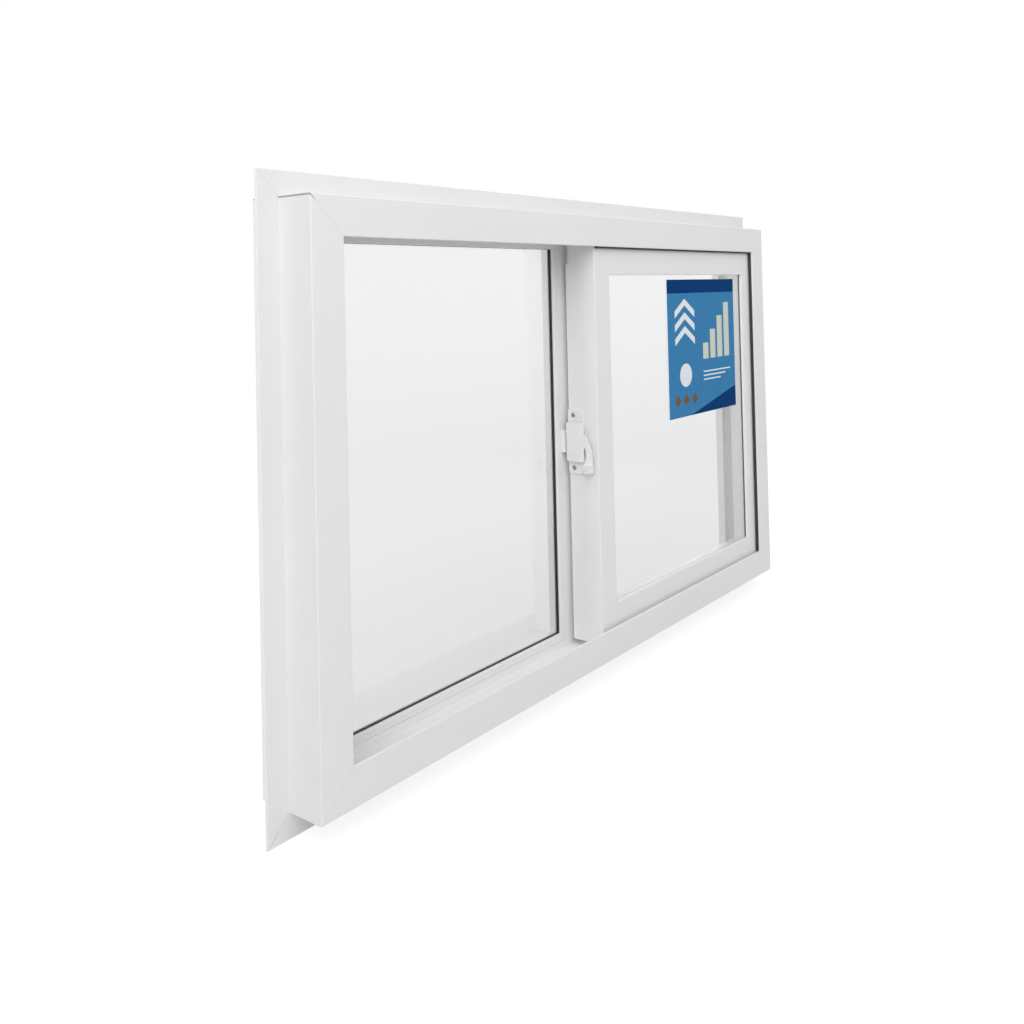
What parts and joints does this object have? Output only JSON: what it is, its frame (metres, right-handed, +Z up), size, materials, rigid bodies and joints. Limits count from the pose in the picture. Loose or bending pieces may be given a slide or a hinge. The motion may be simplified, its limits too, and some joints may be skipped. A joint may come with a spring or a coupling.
{
  "type": "horizontal sliding window",
  "caption": "White PVC sliding window with a mitred flanged frame, a fixed pane, a glazed sash that rolls sideways over it, and a turning lever lock.",
  "frame": {"origin": "on the flange's wall side, in the middle of the lower flange strip", "axes": "+X to the right seen from the room, +Y out of the room, +Z up"},
  "size_m": [1.052, 0.09, 0.652],
  "materials": {
    "white_pvc": "satin extruded PVC",
    "clear_glass": "clear float glass",
    "gasket_black": "matt black gasket",
    "lock_white": "moulded white plastic",
    "grey_nylon": "moulded nylon"
  },
  "bodies": {
    "frame": {"sill": "white_pvc", "left_jamb": "white_pvc", "head": "white_pvc", "right_jamb": "white_pvc", "fixed_mullion": "white_pvc", "fixed_bead_sill": "white_pvc", "fixed_bead_left": "white_pvc", "fixed_bead_head": "white_pvc", "fixed_bead_mullion": "white_pvc", "fixed_gasket": "gasket_black", "fixed_glass": "clear_glass", "fixed_tape": "gasket_black", "lock_keeper": "lock_white", "head_seal": "gasket_black", "jamb_seal": "gasket_black"},
    "sash": {"sash_bottom_rail": "white_pvc", "sash_top_rail": "white_pvc", "sash_closing_stile": "white_pvc", "sash_meeting_stile": "white_pvc", "sash_bead_bottom": "white_pvc", "sash_bead_left": "white_pvc", "sash_bead_top": "white_pvc", "sash_bead_right": "white_pvc", "sash_glass": "clear_glass", "sash_tape": "gasket_black", "roller_carriage_left": "grey_nylon", "roller_carriage_right": "grey_nylon", "roller_left": "grey_nylon", "roller_right": "grey_nylon", "top_guide_left": "grey_nylon", "top_guide_right": "grey_nylon", "lock_body": "lock_white"},
    "lock_lever": {"lock_lever": "lock_white"}
  },
  "joints": [
    {"name": "sash_slide", "type": "slide", "parent": "frame", "child": "sash", "axis": [-1, 0, 0], "range_m": [0, 0.41]},
    {"name": "lock_turn", "type": "hinge", "parent": "sash", "child": "lock_lever", "pos_m": [-0.0196, -0.007, 0.306], "axis": [-1, 0, 0], "range_deg": [0, 122]}
  ]
}
